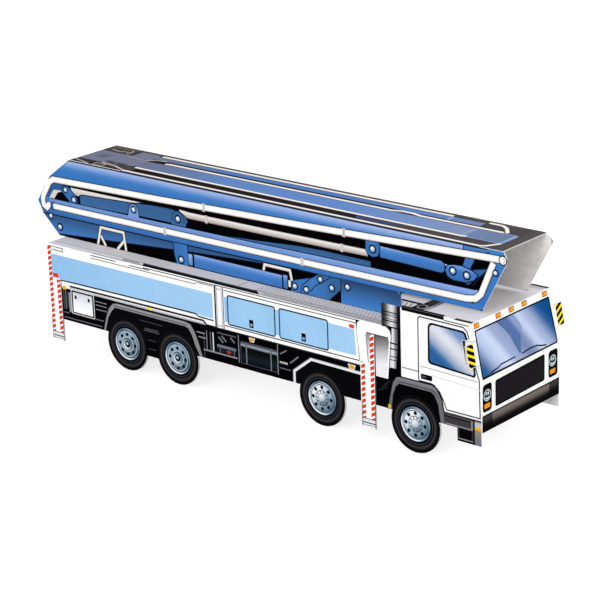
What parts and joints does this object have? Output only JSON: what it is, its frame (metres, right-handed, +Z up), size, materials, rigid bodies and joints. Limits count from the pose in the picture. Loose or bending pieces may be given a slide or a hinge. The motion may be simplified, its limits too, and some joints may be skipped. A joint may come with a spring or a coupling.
{
  "type": "paperboard model of a concrete pump truck",
  "caption": "Folded paperboard model of a concrete pump truck, its boom stowed as an open sleeve, with die-cut wheels and legs, folding mirror flaps and a tucked rear panel.",
  "frame": {"origin": "on the ground plane, at the middle of the footprint of the whole model with its flaps as parked", "axes": "+X along the truck to its cab and nose, +Y to the truck's left side, +Z up"},
  "size_m": [0.2824, 0.072, 0.095],
  "materials": {
    "side_print": "coated board, printed white, light blue and black",
    "deck_print": "coated board, printed grey",
    "boom_print": "coated board, printed blue with white pipes",
    "boom_top_print": "coated board, printed charcoal and slate blue",
    "cab_print": "coated board, printed white with blue glass",
    "flap_print": "coated board, printed yellow and black",
    "rear_print": "coated board, printed white and black",
    "plain_board": "uncoated reverse of the board"
  },
  "bodies": {
    "truck": {"right_side_panel": "side_print", "left_side_panel": "side_print", "right_deck_strip": "deck_print", "left_deck_strip": "deck_print", "boom_right_panel": "boom_print", "boom_left_panel": "boom_print", "boom_top_panel": "boom_top_print", "cab_back_panel": "cab_print", "cab_roof_panel": "cab_print", "windshield_panel": "cab_print", "front_panel": "cab_print", "floor_panel": "plain_board", "right_dust_flap": "plain_board", "left_dust_flap": "plain_board", "floor_glue_flap": "plain_board", "right_roof_glue_flap": "plain_board", "left_roof_glue_flap": "plain_board", "right_front_glue_flap": "plain_board", "left_front_glue_flap": "plain_board"},
    "rear_closure": {"rear_panel": "rear_print", "rear_tuck_flap": "plain_board"},
    "right_mirror": {"right_mirror_flap": "flap_print"},
    "left_mirror": {"left_mirror_flap": "flap_print"}
  },
  "joints": [
    {"name": "rear_closure_fold", "type": "hinge", "parent": "truck", "child": "rear_closure", "pos_m": [-0.12389, 0, 0.017], "axis": [0, -1, 0], "range_deg": [0, 100]},
    {"name": "right_mirror_fold", "type": "hinge", "parent": "truck", "child": "right_mirror", "pos_m": [0.13711, -0.029, 0.042], "axis": [0.1908, 0, -0.9816], "range_deg": [0, 90]},
    {"name": "left_mirror_fold", "type": "hinge", "parent": "truck", "child": "left_mirror", "pos_m": [0.13711, 0.029, 0.042], "axis": [-0.1908, 0, 0.9816], "range_deg": [0, 90]}
  ]
}
